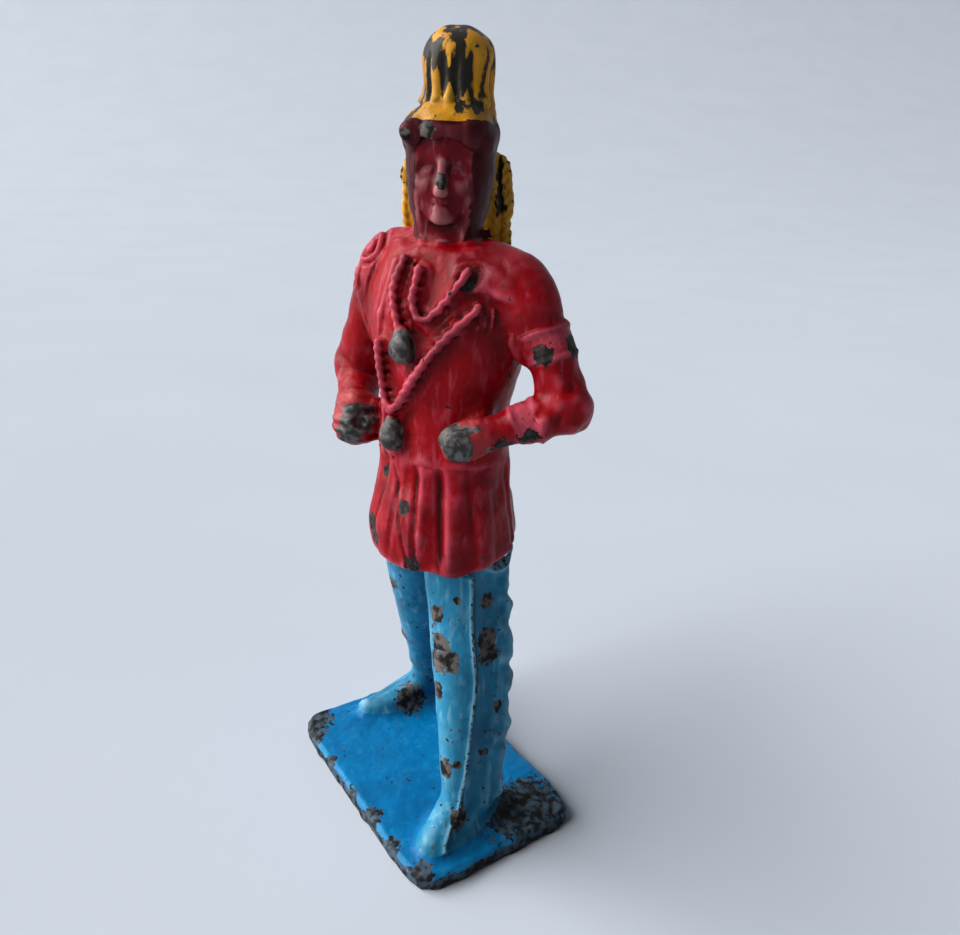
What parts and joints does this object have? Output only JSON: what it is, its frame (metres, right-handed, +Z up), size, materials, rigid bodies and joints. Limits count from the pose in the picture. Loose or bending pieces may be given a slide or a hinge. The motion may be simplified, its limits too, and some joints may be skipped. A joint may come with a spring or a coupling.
{
  "type": "standing miniature figure",
  "caption": "Painted cast-metal miniature figure in a pleated shirt and feather headdress, standing astride on a rounded oblong plate.",
  "frame": {"origin": "centre of the plate's flat underside", "axes": "+Z up, the figure faces -Y, +X is the figure's left"},
  "size_m": [0.026, 0.0172, 0.0667],
  "materials": {
    "plate_blue": "worn gloss enamel with chipped edges",
    "legging_blue": "worn gloss enamel with chips",
    "shirt_red": "worn gloss enamel",
    "worn_metal": "dull dark bare casting alloy, stands in for lead",
    "face_red": "worn satin enamel",
    "hair_dark_red": "worn satin enamel",
    "feather_yellow": "worn gloss enamel with black in the grooves"
  },
  "bodies": {
    "root": {"base_plate": "plate_blue", "left_leg": "legging_blue", "right_leg": "legging_blue", "left_leg_fringe": "legging_blue", "right_leg_fringe": "legging_blue", "tunic_skirt": "shirt_red", "tunic_body": "shirt_red", "left_shoulder_cape": "shirt_red", "right_shoulder_cape": "shirt_red", "left_arm": "shirt_red", "right_arm": "shirt_red", "left_armlet": "shirt_red", "left_cuff": "shirt_red", "neckline": "shirt_red", "upper_necklace": "shirt_red", "lower_necklace": "shirt_red", "left_hand": "worn_metal", "right_hand": "worn_metal", "upper_pendant": "worn_metal", "lower_pendant": "worn_metal", "head": "face_red", "left_hair_lock": "hair_dark_red", "right_hair_lock": "hair_dark_red", "headband": "hair_dark_red", "head_cap": "feather_yellow", "feather_plume": "feather_yellow", "feather_trailer": "feather_yellow"}
  },
  "joints": []
}
